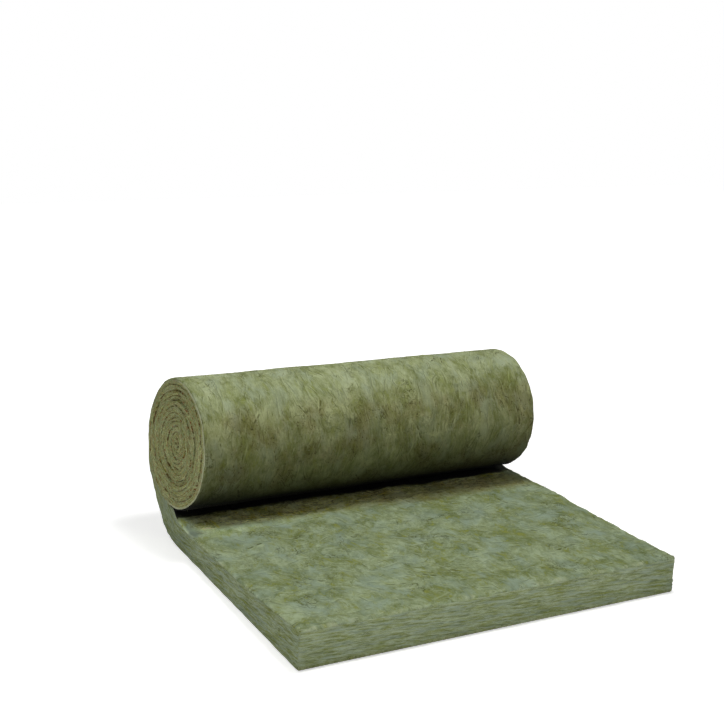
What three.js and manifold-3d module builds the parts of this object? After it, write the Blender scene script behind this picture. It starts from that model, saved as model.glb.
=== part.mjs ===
// A roll of mineral wool insulation, partly unrolled: one blanket, wound tight on itself, that runs out
// from the back of the roll, turns under it and lies flat in front of it.
// Millimetres, +Z up. X runs across the blanket along the roll's axis, and the cut edge is at -Y.
import * as THREE from 'three';
import { mergeVertices } from 'three/addons/utils/BufferGeometryUtils.js';
import Module from 'manifold-3d';

// The blanket
const BLANKET_WIDTH = 1200;
const UNROLLED_LENGTH = 918;       // from the roll's axis to the cut edge
const LOFT_AT_CUT = 113;           // thickness at the cut edge, where the wool has sprung back
const CUT_TOP_ROUND = 7;
const CUT_BOTTOM_ROUND = 12;

// The roll, and the crevices between its turns that show at both ends
const ROLL_RADIUS = 204;
const RIM_ROUND = 6;
const LAP_THICKNESS = 16.5;        // thickness of one wound turn
const CREVICE_WIDTH = 6;
const CREVICE_DEPTH = 13;
const CORE_CURL = 10;              // radius at which the innermost turn closes up

// How the blanket lies at each end: it is still pressed thin under the left end, and the roll has run
// a little further back and sits lower at the right end. Angles are in degrees, 0 to the rear, 90 up.
const LEFT = { middleLoft: 90, rearLoft: 84, nipGap: 41, axisBack: 0, tipAngle: -78 };
const RIGHT = { middleLoft: 114, rearLoft: 106, nipGap: 5, axisBack: 37, tipAngle: -88 };

// The nip is the open wedge under the roll, and the tail is the stretch behind it that leaves the
// floor and rises to become the outermost turn.
const NIP_LENGTH = 110;            // how far in front of the axis the nip opens
const TAIL_LIFT = 60;              // how far in front of the axis the tail leaves the floor
const TAIL_REACH = 165;            // how far behind the axis its bend would reach
const TAIL_BEND_HEIGHT = 75;
const TAIL_JOIN_ANGLE = -15;       // where it runs into the round of the roll
const TAIL_SETTLED_ANGLE = 0;      // where it has been pressed to one lap's thickness
const TAIL_SINK = 4;               // how far its inner face is let into the turned roll

// The turns have slipped along the axis as they were wound, so both ends of the roll lean
const LEAN_BACK = 0.092;           // slip along X for each millimetre to the rear of the axis
const LEAN_UP = 0.064;             // slip along X for each millimetre above the axis

const WOOL_COLOUR = 0x7a8665;
const WOOL_ROUGHNESS = 0.96;

// Facets
const ROLL_SEGMENTS = 48;
const ROUND_DIVISIONS = 3;
const STRETCH_DIVISIONS = 10;
const NIP_DIVISIONS = 6;
const TAIL_DIVISIONS = 12;
const WIDTH_STEPS = 6;
const CREVICE_STEP = 38;           // millimetres along the crevice
const CREVICE_MIN_TURN = 12;       // degrees, the finest step
const CREVICE_MAX_TURN = 26;

const wasm = await Module();
wasm.setup();

const { clamp, degToRad, lerp, radToDeg, smoothstep } = THREE.MathUtils;

// The height and set-back of the roll's axis, from 0 at the left end to 1 at the right end
function axisAt(share) {
  const heightAt = (end) => end.rearLoft + end.nipGap + ROLL_RADIUS;
  return new THREE.Vector2(
    lerp(LEFT.axisBack, RIGHT.axisBack, share), lerp(heightAt(LEFT), heightAt(RIGHT), share));
}

function onCircle(degrees, radius) {
  return new THREE.Vector2(radius, 0).rotateAround(new THREE.Vector2(), degToRad(degrees));
}

function onRoll(axis, degrees, radius = ROLL_RADIUS) {
  return onCircle(degrees, radius).add(axis);
}

// How far the slipped turns have moved along X at a point (y, z) of the section
function slip(axis, point) {
  return LEAN_UP * (point.y - axis.y) - LEAN_BACK * (point.x - axis.x);
}

function closedGeometry(positions, indices) {
  const geometry = new THREE.BufferGeometry();
  geometry.setAttribute('position', new THREE.Float32BufferAttribute(positions, 3));
  geometry.setIndex(indices);
  return mergeVertices(geometry, 1e-4);
}

function toGeometry(solid) {
  const mesh = solid.getMesh();
  return closedGeometry(mesh.vertProperties, Array.from(mesh.triVerts));
}

function toSolid(geometry) {
  const corners = Array.from(geometry.index.array);
  const triangles = [];
  for (let i = 0; i < corners.length; i += 3) {
    const [a, b, c] = corners.slice(i, i + 3);
    if (a !== b && b !== c && c !== a) triangles.push(a, b, c);
  }
  return new wasm.Manifold(new wasm.Mesh({
    numProp: 3,
    vertProperties: new Float32Array(geometry.attributes.position.array),
    triVerts: new Uint32Array(triangles),
  }));
}

// A wedge along the line between two turns, to be cut out of an end of the roll. It starts where the
// tail meets the roll and winds inwards. Side is -1 at the left end and 1 at the right.
function creviceSolid(end, side) {
  const radiusAt = (degrees) => ROLL_RADIUS - LAP_THICKNESS * (1 + (degrees - TAIL_SETTLED_ANGLE) / 360);
  const startExtra = ROLL_RADIUS - radiusAt(end.tipAngle);
  const proud = CREVICE_DEPTH / 2;
  const mouth = CREVICE_WIDTH / 2 * (1 + proud / CREVICE_DEPTH);
  const root = CREVICE_WIDTH / 12;
  const corners = [[proud, mouth], [proud, -mouth], [-CREVICE_DEPTH, -root], [-CREVICE_DEPTH, root]];

  const positions = [];
  let degrees = end.tipAngle;
  let radius = ROLL_RADIUS;
  while (radius > CORE_CURL) {
    const unsettled = clamp((TAIL_SETTLED_ANGLE - degrees) / (TAIL_SETTLED_ANGLE - end.tipAngle), 0, 1);
    radius = radiusAt(degrees) + startExtra * unsettled ** 2;
    for (const [along, out] of corners) {
      const point = onCircle(degrees, radius + out);
      positions.push(side * (BLANKET_WIDTH / 2 + along), point.x, point.y);
    }
    degrees += clamp(radToDeg(CREVICE_STEP / radius), CREVICE_MIN_TURN, CREVICE_MAX_TURN);
  }

  const ring = corners.length;
  const indices = [];
  const last = positions.length / 3 - ring;
  for (let here = 0; here < last; here++) {
    const next = here % ring === ring - 1 ? here + 1 - ring : here + 1;
    indices.push(here, next, next + ring, here, next + ring, here + ring);
  }
  indices.push(0, 2, 1, 0, 3, 2, last, last + 1, last + 2, last, last + 2, last + 3);
  if (side > 0) indices.reverse();
  return toSolid(closedGeometry(positions, indices));
}

// The wound roll: a turned solid with soft rims and a crevice wound into each end, then laid along
// its axis with its turns slipped
function rollSolid() {
  const half = BLANKET_WIDTH / 2;
  const profile = new THREE.Path();
  profile.moveTo(0, -half);
  profile.lineTo(ROLL_RADIUS - RIM_ROUND, -half);
  profile.absarc(ROLL_RADIUS - RIM_ROUND, -half + RIM_ROUND, RIM_ROUND, -Math.PI / 2, 0, false);
  profile.absarc(ROLL_RADIUS - RIM_ROUND, half - RIM_ROUND, RIM_ROUND, 0, Math.PI / 2, false);
  profile.lineTo(0, half);
  const turned = new THREE.LatheGeometry(profile.getPoints(ROUND_DIVISIONS), ROLL_SEGMENTS);
  turned.deleteAttribute('normal');
  turned.deleteAttribute('uv');
  turned.rotateZ(-Math.PI / 2);
  const wound = toSolid(mergeVertices(turned, 1e-4))
    .subtract(creviceSolid(LEFT, -1))
    .subtract(creviceSolid(RIGHT, 1));

  const laid = toGeometry(wound);
  const position = laid.attributes.position;
  for (let i = 0; i < position.count; i++) {
    const axis = axisAt(position.getX(i) / BLANKET_WIDTH + 0.5);
    const point = new THREE.Vector2(position.getY(i), position.getZ(i)).add(axis);
    position.setXYZ(i, position.getX(i) + slip(axis, point), point.x, point.y);
  }
  return toSolid(laid);
}

// One end's section of the loose stretch, as stations from the cut edge to inside the roll. Each
// station has a point on the lower and one on the upper face, and how far it has joined the slip.
function stretchStations(end, axis) {
  const front = -UNROLLED_LENGTH;
  const stations = [];

  for (let i = 0; i < ROUND_DIVISIONS; i++) {
    const angle = Math.PI / 2 * i / ROUND_DIVISIONS;
    const inward = 1 - Math.cos(angle);
    const short = 1 - Math.sin(angle);
    stations.push({
      lower: new THREE.Vector2(front + CUT_BOTTOM_ROUND * inward, CUT_BOTTOM_ROUND * short),
      upper: new THREE.Vector2(front + CUT_TOP_ROUND * inward, LOFT_AT_CUT - CUT_TOP_ROUND * short),
    });
  }

  const nipFront = axis.x - NIP_LENGTH;
  const swell = 2 * end.middleLoft - (LOFT_AT_CUT + end.rearLoft) / 2;
  const top = new THREE.QuadraticBezierCurve(
    new THREE.Vector2(front + CUT_TOP_ROUND, LOFT_AT_CUT),
    new THREE.Vector2((front + nipFront) / 2, swell),
    new THREE.Vector2(nipFront, end.rearLoft));
  const floor = new THREE.LineCurve(
    new THREE.Vector2(front + CUT_BOTTOM_ROUND, 0), new THREE.Vector2(axis.x - TAIL_LIFT, 0));
  for (let i = 0; i < STRETCH_DIVISIONS; i++) {
    const share = i / STRETCH_DIVISIONS;
    stations.push({ lower: floor.getPoint(share), upper: top.getPoint(share) });
  }

  const tip = onRoll(axis, end.tipAngle);
  const nipFloor = new THREE.QuadraticBezierCurve(
    new THREE.Vector2(nipFront, end.rearLoft),
    new THREE.Vector2((nipFront + tip.x) / 2, end.rearLoft),
    tip);
  const join = onRoll(axis, TAIL_JOIN_ANGLE);
  const bendPull = (join.y - TAIL_BEND_HEIGHT) * Math.tan(degToRad(-TAIL_JOIN_ANGLE));
  const tail = new THREE.CubicBezierCurve(
    new THREE.Vector2(axis.x - TAIL_LIFT, 0),
    new THREE.Vector2(axis.x + TAIL_REACH, 0),
    new THREE.Vector2(join.x - bendPull, TAIL_BEND_HEIGHT),
    join);
  const divisions = NIP_DIVISIONS + TAIL_DIVISIONS;
  for (let i = 0; i <= divisions; i++) {
    const wound = Math.max(0, i - NIP_DIVISIONS) / TAIL_DIVISIONS;
    stations.push({
      lower: tail.getPoint(i / divisions),
      upper: i < NIP_DIVISIONS
        ? nipFloor.getPoint(i / NIP_DIVISIONS)
        : onRoll(axis, lerp(end.tipAngle, TAIL_JOIN_ANGLE, wound), ROLL_RADIUS - TAIL_SINK * wound),
    });
  }
  stations.push({
    lower: onRoll(axis, TAIL_SETTLED_ANGLE, ROLL_RADIUS - TAIL_SINK),
    upper: onRoll(axis, TAIL_SETTLED_ANGLE, ROLL_RADIUS - 2 * TAIL_SINK),
  });

  for (const station of stations) {
    const fromFloor = station.lower.x > axis.x - TAIL_LIFT ? station.lower.y : 0;
    station.hold = smoothstep(fromFloor, 0.1 * axis.y, 0.7 * axis.y);
  }
  return stations;
}

// The loose stretch and the tail, ruled between the sections at the two ends
function stretchSolid() {
  const left = stretchStations(LEFT, axisAt(0));
  const right = stretchStations(RIGHT, axisAt(1));
  const count = left.length;
  const ring = 2 * count;
  const positions = [];
  for (let step = 0; step <= WIDTH_STEPS; step++) {
    const share = step / WIDTH_STEPS;
    const axis = axisAt(share);
    const place = (face, i) => {
      const point = left[i][face].clone().lerp(right[i][face], share);
      const hold = lerp(left[i].hold, right[i].hold, share);
      positions.push((share - 0.5) * BLANKET_WIDTH + hold * slip(axis, point), point.x, point.y);
    };
    for (let i = 0; i < count; i++) place('lower', i);
    for (let i = count - 1; i >= 0; i--) place('upper', i);
  }
  const indices = [];
  for (let step = 0; step < WIDTH_STEPS; step++) {
    for (let k = 0; k < ring; k++) {
      const here = step * ring + k;
      const next = step * ring + (k + 1) % ring;
      indices.push(here, next, next + ring, here, next + ring, here + ring);
    }
  }
  const last = WIDTH_STEPS * ring;
  for (let i = 0; i + 1 < count; i++) {
    const [low, lowNext, high, highNext] = [i, i + 1, ring - 1 - i, ring - 2 - i];
    indices.push(low, highNext, lowNext, low, high, highNext);
    indices.push(last + low, last + lowNext, last + highNext, last + low, last + highNext, last + high);
  }
  return toSolid(closedGeometry(positions, indices));
}

const geometry = toGeometry(rollSolid().add(stretchSolid()));
geometry.computeVertexNormals();

const blanket = new THREE.Mesh(
  geometry,
  new THREE.MeshStandardMaterial({ color: WOOL_COLOUR, roughness: WOOL_ROUGHNESS, metalness: 0 }));
blanket.name = 'insulation_blanket';

// The origin is on the floor, under the middle of the whole form
const centre = new THREE.Box3().setFromObject(blanket).getCenter(new THREE.Vector3());
blanket.position.set(-centre.x, -centre.y, 0);

const group = new THREE.Group();
group.name = 'insulation_roll';
group.add(blanket);

export default group;
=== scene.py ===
import math
from functools import partial, reduce

import bmesh
import bpy
import numpy as np
from mathutils import Matrix, Vector, noise


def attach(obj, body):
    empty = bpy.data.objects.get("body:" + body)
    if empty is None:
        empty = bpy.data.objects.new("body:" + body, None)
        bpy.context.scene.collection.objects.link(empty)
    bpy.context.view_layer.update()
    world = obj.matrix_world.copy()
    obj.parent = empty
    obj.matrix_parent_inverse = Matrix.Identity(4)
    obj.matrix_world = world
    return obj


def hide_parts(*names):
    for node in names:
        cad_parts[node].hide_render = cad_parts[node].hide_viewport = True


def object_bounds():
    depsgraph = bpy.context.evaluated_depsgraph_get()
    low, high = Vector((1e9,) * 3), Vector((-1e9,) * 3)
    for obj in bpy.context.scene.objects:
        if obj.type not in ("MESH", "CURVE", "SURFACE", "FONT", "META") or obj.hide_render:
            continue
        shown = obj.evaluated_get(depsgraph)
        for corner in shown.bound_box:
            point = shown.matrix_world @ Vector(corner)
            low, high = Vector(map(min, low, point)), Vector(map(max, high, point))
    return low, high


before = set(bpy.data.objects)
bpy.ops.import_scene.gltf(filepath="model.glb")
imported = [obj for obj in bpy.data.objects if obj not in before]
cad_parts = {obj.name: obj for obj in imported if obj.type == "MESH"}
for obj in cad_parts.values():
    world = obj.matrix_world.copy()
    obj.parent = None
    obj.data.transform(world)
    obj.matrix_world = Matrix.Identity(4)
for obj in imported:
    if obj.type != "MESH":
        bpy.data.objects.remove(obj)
cad_low, cad_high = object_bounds()

# ---------------------------------------------------------------------------------------------------
# The blanket: one length of green-grey mineral wool, wound tight into a roll. It leaves the roll at
# the back, bends down to the floor and runs out under it to a cut edge.
WIDTH = 1.2
UNROLLED_LENGTH = 0.918
LOFT_AT_CUT = 0.113
CUT_TOP_ROUND = 0.007
CUT_BOTTOM_ROUND = 0.012
ROLL_RADIUS = 0.204
LAP_THICKNESS = 0.0165
NIP_LENGTH = 0.110
TAIL_LIFT = 0.060
TAIL_REACH = 0.165
TAIL_BEND_HEIGHT = 0.075
LEAN_BACK = 0.092
LEAN_UP = 0.064
RIM_ROUND = 0.005
WANDER = 0.0065
PUSHED_OUT = 0.005
LEFT = {"side": -1, "middle": 0.090, "rear": 0.084, "nip": 0.041, "back": 0.0, "tip": -78.0}
RIGHT = {"side": 1, "middle": 0.114, "rear": 0.106, "nip": 0.005, "back": 0.037, "tip": -88.0}

# It is laid out as one strip of stations, from the cut edge to the core. Each end has a section of
# its own, and the faces are ruled between the two.
ROUND_STATIONS = 3
STRETCH_STATIONS = 108
NIP_STATIONS = 14
TURN_STATIONS = 150
TAIL_STATIONS = 26
TIP = ROUND_STATIONS + STRETCH_STATIONS + NIP_STATIONS
JOIN = TIP + TAIL_STATIONS
TURN_END = TIP + TURN_STATIONS
CREVICE_STATIONS = 1740
CORE = TIP + CREVICE_STATIONS + TURN_STATIONS
STEP = 360 / TURN_STATIONS
LAP_SHARES = np.array([0, 0.07, 0.19, 0.34, 0.5, 0.66, 0.81, 0.93, 1.0])


def between(shares):
    middles = (shares[1:] + shares[:-1]) / 2
    return np.sort(np.concatenate([shares, middles]))


CUT_SHARES = between(LAP_SHARES)


def smooth(value, low=0.0, high=1.0):
    share = np.clip((value - low) / (high - low), 0, 1)
    return share * share * (3 - 2 * share)


def axis_at(share):
    """The roll's axis, as (y, z), at a share of the width from the left end."""
    left_height, right_height = [end["rear"] + end["nip"] + ROLL_RADIUS for end in (LEFT, RIGHT)]
    back = LEFT["back"] + (RIGHT["back"] - LEFT["back"]) * share
    height = left_height + (right_height - left_height) * share
    return np.stack([cad_low[1] + UNROLLED_LENGTH + back, height], -1)


def around(axis, degrees, radius):
    angle = np.radians(degrees)
    return axis + np.stack([radius * np.cos(angle), radius * np.sin(angle)], -1)


def bezier(corners, share):
    points = [np.outer(np.ones_like(share), corner) for corner in corners]
    while len(points) > 1:
        points = [a + (b - a) * share[:, None] for a, b in zip(points, points[1:])]
    return points[0]


def wander(degrees, radius, side):
    """How far a turn strays from a true spiral, alike for neighbouring turns."""
    angle = math.radians(degrees)
    place = Vector((1.3 * math.cos(angle), 1.3 * math.sin(angle), radius / 0.045 + 9 * side))
    settle = min(1.0, radius / 0.04) * min(1.0, max(0.0, (ROLL_RADIUS - radius) / 0.03))
    return WANDER * settle * noise.noise(place)


def crevice_radii(end):
    """The line between two turns, from the nip's tip to the core."""
    degrees = end["tip"] + np.arange(CREVICE_STATIONS + 1) * STEP
    extra = LAP_THICKNESS * (1 + end["tip"] / 360)
    loose = np.clip(degrees / end["tip"], 0, 1)
    radii = ROLL_RADIUS - LAP_THICKNESS * (1 + degrees / 360) + extra * loose**2
    radii = np.maximum(radii, 0)
    return np.array([r + wander(d, r, end["side"]) for d, r in zip(degrees, radii)])


def section(end):
    """One end's points on the outer and the inner face at each station, and how far each station has
    joined the slip of the roll's ends."""
    axis = axis_at((end["side"] + 1) / 2)
    front = cad_low[1]
    quarter = np.pi / 2 * np.arange(ROUND_STATIONS) / ROUND_STATIONS
    inward, short = 1 - np.cos(quarter), 1 - np.sin(quarter)
    outer = [np.stack([front + CUT_BOTTOM_ROUND * inward, CUT_BOTTOM_ROUND * short], -1)]
    inner = [np.stack([front + CUT_TOP_ROUND * inward, LOFT_AT_CUT - CUT_TOP_ROUND * short], -1)]

    rear = [axis[0] - NIP_LENGTH, end["rear"]]
    lift = [axis[0] - TAIL_LIFT, 0.0]
    swell = [(front + rear[0]) / 2, 2 * end["middle"] - (LOFT_AT_CUT + end["rear"]) / 2]
    share = np.arange(STRETCH_STATIONS) / STRETCH_STATIONS
    outer.append(bezier([[front + CUT_BOTTOM_ROUND, 0.0], lift], share))
    inner.append(bezier([[front + CUT_TOP_ROUND, LOFT_AT_CUT], swell, rear], share))

    tip = around(axis, end["tip"], ROLL_RADIUS)
    share = np.arange(NIP_STATIONS) / NIP_STATIONS
    inner.append(bezier([rear, [(rear[0] + tip[0]) / 2, end["rear"]], tip], share))
    radii = crevice_radii(end)
    degrees = end["tip"] + np.arange(CORE - TIP) * STEP
    crevice = np.append(radii, np.zeros(CORE - TIP - len(radii)))
    inner.append(around(axis, degrees, crevice))

    join_degrees = degrees[TAIL_STATIONS]
    join = around(axis, join_degrees, ROLL_RADIUS)
    pull = (join[1] - TAIL_BEND_HEIGHT) * math.tan(math.radians(-join_degrees))
    bend = [lift, [axis[0] + TAIL_REACH, 0.0], [join[0] - pull, TAIL_BEND_HEIGHT], join]
    share = np.arange(NIP_STATIONS + TAIL_STATIONS) / (NIP_STATIONS + TAIL_STATIONS)
    outer.append(bezier(bend, share))
    full = np.full(TURN_STATIONS - TAIL_STATIONS, ROLL_RADIUS)
    wound = np.append(full, crevice[: CORE - TURN_END])
    outer.append(around(axis, degrees[TAIL_STATIONS:], wound))

    outer, inner = np.concatenate(outer), np.concatenate(inner)
    off_floor = np.where(outer[:, 0] > lift[0], outer[:, 1], 0)
    hold = smooth(off_floor, 0.1 * axis[1], 0.7 * axis[1])
    hold[JOIN:] = 1
    return outer, inner, hold


def slip(axis, y, z):
    """How far the turns have slipped along X at a point of the roll."""
    return LEAN_UP * (z - axis[..., 1]) - LEAN_BACK * (y - axis[..., 0])


sections = {-1: section(LEFT), 1: section(RIGHT)}


def pushed_out(side):
    """A few inner turns that stand a little proud over the upper front of the left end."""
    degrees = (LEFT["tip"] if side < 0 else RIGHT["tip"]) + STEP * (np.arange(CORE) - TIP)
    radii = ROLL_RADIUS - LAP_THICKNESS * degrees / 360
    sector = smooth(degrees % 360, 70, 95) * smooth(degrees % 360, 168, 150)
    return PUSHED_OUT * smooth(radii, 0.128, 0.120) * smooth(radii, 0.075, 0.10) * sector * (side < 0)


def edge_shift(side):
    """The run along the blanket to each station, and how far its cut edge stands proud along X there.
    The right edge also spreads at the corner, beside the nip and where the last turn comes down."""
    outer, inner, _ = sections[side]
    middle = (outer + inner) / 2
    run = np.append(0, np.cumsum(np.linalg.norm(np.diff(middle, axis=0), axis=1)))
    slow = np.array([noise.noise(Vector((5.5 * u, 3.1 * side, 0.4))) for u in run])
    fast = np.array([noise.noise(Vector((30 * u, 7.7 * side, 2.4))) for u in run])
    wound = smooth(np.arange(CORE), JOIN, TURN_END)
    rough = 0.0032 if side > 0 else 0.0012
    ragged = (0.0015 + 0.0045 * wound) * slow + (rough + (0.002 - rough) * wound) * fast
    station = np.arange(CORE) - TIP
    at_corner = 0.006 * np.exp(-((run / 0.06) ** 2))
    beside_nip = 0.020 * smooth(station, -85, -25) * smooth(station, 16, -4)
    on_last_turn = 0.009 * smooth(station, 112, 130) * smooth(station, 230, 150)
    spread = (at_corner + beside_nip + on_last_turn) * (side > 0)
    return run, ragged + spread + pushed_out(side)


def outline(side):
    """The rows of the closed section, and the same rows drawn in to round the rims."""
    outer, inner, hold = sections[side]
    cut = CUT_SHARES[-2:0:-1, None]
    face = outer[0] + (inner[0] - outer[0]) * cut
    rows = np.concatenate([outer[:TURN_END], inner[TIP::-1], face])
    holds = np.concatenate([hold[:TURN_END], hold[TIP::-1], np.zeros(len(face))])
    along = np.roll(rows, -1, 0) - np.roll(rows, 1, 0)
    out = np.stack([along[:, 1], -along[:, 0]], -1)
    out /= np.linalg.norm(out, axis=1, keepdims=True)
    from_tip = np.abs(np.arange(len(rows)) - TURN_END)
    weight = smooth(from_tip, 0, 5)
    return rows, holds, out * weight[:, None]


run = {}
proud = {}
for side in (-1, 1):
    run[side], proud[side] = edge_shift(side)

COLUMNS = 164
corner = np.radians([0, 30, 60])
corner_in = RIM_ROUND * (1 - np.cos(corner))
corner_down = RIM_ROUND * (1 - np.sin(corner))
across = np.linspace(RIM_ROUND, WIDTH - RIM_ROUND, COLUMNS + 1 - 2 * len(corner))
across = np.concatenate([corner_in, across, WIDTH - corner_in[::-1]])
down = np.concatenate([corner_down, np.zeros(COLUMNS + 1 - 2 * len(corner)), corner_down[::-1]])
share = across / WIDTH

left_rows, left_hold, left_out = outline(-1)
right_rows, right_hold, right_out = outline(1)
ROWS = len(left_rows)
CUT_TOP = TURN_END + TIP
cut_stations = np.zeros(len(CUT_SHARES) - 2, int)
row_station = np.concatenate([np.arange(TURN_END), np.arange(TIP, -1, -1), cut_stations])


def rule(left, right):
    return left[:, None] * (1 - share[None, :, None]) + right[:, None] * share[None, :, None]


points = rule(left_rows, right_rows) - rule(left_out, right_out) * down[None, :, None]
holds = left_hold[:, None] * (1 - share) + right_hold[:, None] * share
axes = axis_at(share)
x = (share[None, :] - 0.5) * WIDTH + holds * slip(axes[None], points[..., 0], points[..., 1])
LEFT_REACH = 0.04
RIGHT_REACH = 0.08
near_left = smooth(LEFT_REACH - across, 0, LEFT_REACH)
near_right = smooth(across - (WIDTH - RIGHT_REACH), 0, RIGHT_REACH)
x += proud[1][row_station][:, None] * near_right - proud[-1][row_station][:, None] * near_left
verts = [np.concatenate([x[..., None], points], -1).reshape(-1, 3)]
grid = np.arange(ROWS * (COLUMNS + 1)).reshape(ROWS, COLUMNS + 1)

outer_run = np.append(0, np.cumsum(np.linalg.norm(np.diff(left_rows, axis=0), axis=1)))
grid_v = outer_run - outer_run[TURN_END]
grid_uv = np.stack(np.broadcast_arrays(x, grid_v[:, None]), -1).reshape(-1, 2)

OUTER, INNER, EDGE = 0, 1, 2
faces = []
face_uvs = []
kinds = []


def add_faces(corners, kind, uvs=None):
    """Faces between points of the grid, with the grid's own UVs unless others are given."""
    faces.extend(corners.tolist())
    face_uvs.extend((grid_uv[corners] if uvs is None else uvs).tolist())
    kinds.extend([kind] * len(corners))


def quads(ids):
    return np.stack([ids[:-1, :-1], ids[1:, :-1], ids[1:, 1:], ids[:-1, 1:]], -1).reshape(-1, 4)


# the floor side is coarser away from its rims
coarse_start = ROUND_STATIONS + 1
coarse_end = ROUND_STATIONS + STRETCH_STATIONS - 3
RIM_COLUMNS = 4
COARSE_STEP = 6
between_rims = np.arange(RIM_COLUMNS, COLUMNS - RIM_COLUMNS, COARSE_STEP)
coarse = np.unique(np.concatenate([
    np.arange(RIM_COLUMNS + 1), between_rims, np.arange(COLUMNS - RIM_COLUMNS, COLUMNS + 1)]))
add_faces(quads(grid[: coarse_start + 1]), OUTER)
add_faces(quads(grid[coarse_end: TURN_END + 1]), OUTER)
add_faces(quads(grid[coarse_start + 1: coarse_end][:, coarse]), OUTER)
for a, b in zip(coarse, coarse[1:]):
    fine, sparse = grid[coarse_start], grid[coarse_start + 1]
    add_faces(np.array([[*fine[a: b + 1][::-1], sparse[a], sparse[b]]]), OUTER)
    sparse, fine = grid[coarse_end - 1], grid[coarse_end]
    add_faces(np.array([[*fine[a: b + 1], sparse[b], sparse[a]]]), OUTER)

add_faces(quads(grid[TURN_END: CUT_TOP + 1]), INNER)
cut_grid = np.concatenate([grid[CUT_TOP:], grid[:1]])
cut_v = CUT_SHARES[::-1, None] * LOFT_AT_CUT
cut_uv = np.stack(np.broadcast_arrays(x[CUT_TOP: CUT_TOP + 1], cut_v), -1).reshape(-1, 2)
cut_ids = np.arange(cut_grid.size).reshape(cut_grid.shape)
add_faces(quads(cut_grid), EDGE, cut_uv[quads(cut_ids)])

wound_rows = np.zeros((ROWS, COLUMNS + 1))
wound_rows[TIP: TURN_END] = smooth(np.arange(TIP, TURN_END), TIP, JOIN)[:, None]
wound_share = [wound_rows.ravel()]
# the brink: the rims and the cut's top edge, where stray strands gather and the wool is drawn paler, partly
# as a painted highlight
from_rim = np.minimum(across, WIDTH - across)
rim_near = np.exp(-((from_rim / 0.007) ** 2))
front_near = np.zeros(ROWS)
from_cut = np.clip(np.arange(TIP, -1, -1) - ROUND_STATIONS, 0, None)
front_near[TURN_END: CUT_TOP + 1] = np.exp(-2.5 * from_cut ** 2.0)
front_near[CUT_TOP + 1:] = np.exp(-((LOFT_AT_CUT * (1 - CUT_SHARES[-2:0:-1]) / 0.006) ** 2))
brink = [np.maximum(rim_near, front_near[:, None]).ravel()]

# painted shading, shade above 0 and light below it: first on the last turn, by its angle, its lower half
painted_shading = np.zeros((ROWS, COLUMNS + 1))
last_turn = (LEFT["tip"] + RIGHT["tip"]) / 2 + STEP * np.arange(TURN_STATIONS)[:, None]
painted_roll_shade = 0
ROLL_SHADE_BANDS = ((0.64, 112, 168), (0.40, 185, 225), (0.2, 192, 212), (0.5, 214, 238), (0.3, 234, 248))
for amount, start, end in ROLL_SHADE_BANDS:
    painted_roll_shade = painted_roll_shade + amount * smooth(last_turn, start, end)
painted_roll_shade = painted_roll_shade + 0.45 * smooth(last_turn, 198, 228) * (1 - share)
painted_roll_shade = painted_roll_shade - 0.22 * np.exp(-(((last_turn - 165) / 20) ** 2)) * smooth(share, 0.5, 1)
left_low_shade = smooth(last_turn, 180, 195) * smooth(last_turn, 229, 215)
painted_shading[TIP: TURN_END] = painted_roll_shade + 0.27 * left_low_shade * smooth(share, 0.30, 0.08)

# then on the loose stretch, by the stations out from the nip; light reaches the nip's right end
from_nip = np.arange(46.0)[:, None]
side_lit = smooth(share, 0.96, 1.0)
reach = 5.6 * share**2
# a painted black contact shade along the nip, easing off at the right end
contact_shade = smooth(from_nip, 7.2 + reach, 5.8 + reach - 3.5 * side_lit) * (1 - 0.05 * side_lit)
# in front of it painted light, strongest on the left, and a band of painted shade further out on the right
fringe_light_and_shade = 0.75 * smooth(from_nip, 17, 12) * (1 - 1.2 * side_lit)
from_glow = (from_nip - 15) / np.where(from_nip < 15, 3.2, 6.5)
fringe_light_and_shade = fringe_light_and_shade + np.exp(-from_glow**2) * np.clip(3.0 - 5.0 * share, 0, None) * smooth(share, -0.02, 0.09)
fringe_light_and_shade -= np.exp(-(((from_nip - 23.5) / 5) ** 2)) * 0.70 * smooth(share, 0.35, 0.95)
before_nip = slice(TURN_END, TURN_END + len(from_nip))
painted_shading[before_nip] = 2.0 * contact_shade - 2.0 * fringe_light_and_shade * (1 - contact_shade)
# where the painted shade lies in front of the nip: small wrinkles, and a browner tint on that painted shade
wrinkled = np.zeros((ROWS, COLUMNS + 1))
wrinkled[before_nip] = smooth(from_nip, 0, 4) * smooth(from_nip - 18 * share, 18, 8)
wrinkled *= smooth(from_rim, 0.0, 0.06)


def lap_shares(station):
    """Where the points of an end lie between its outer and inner face: twice as many on the loose part."""
    return CUT_SHARES if station <= JOIN else LAP_SHARES


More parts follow.
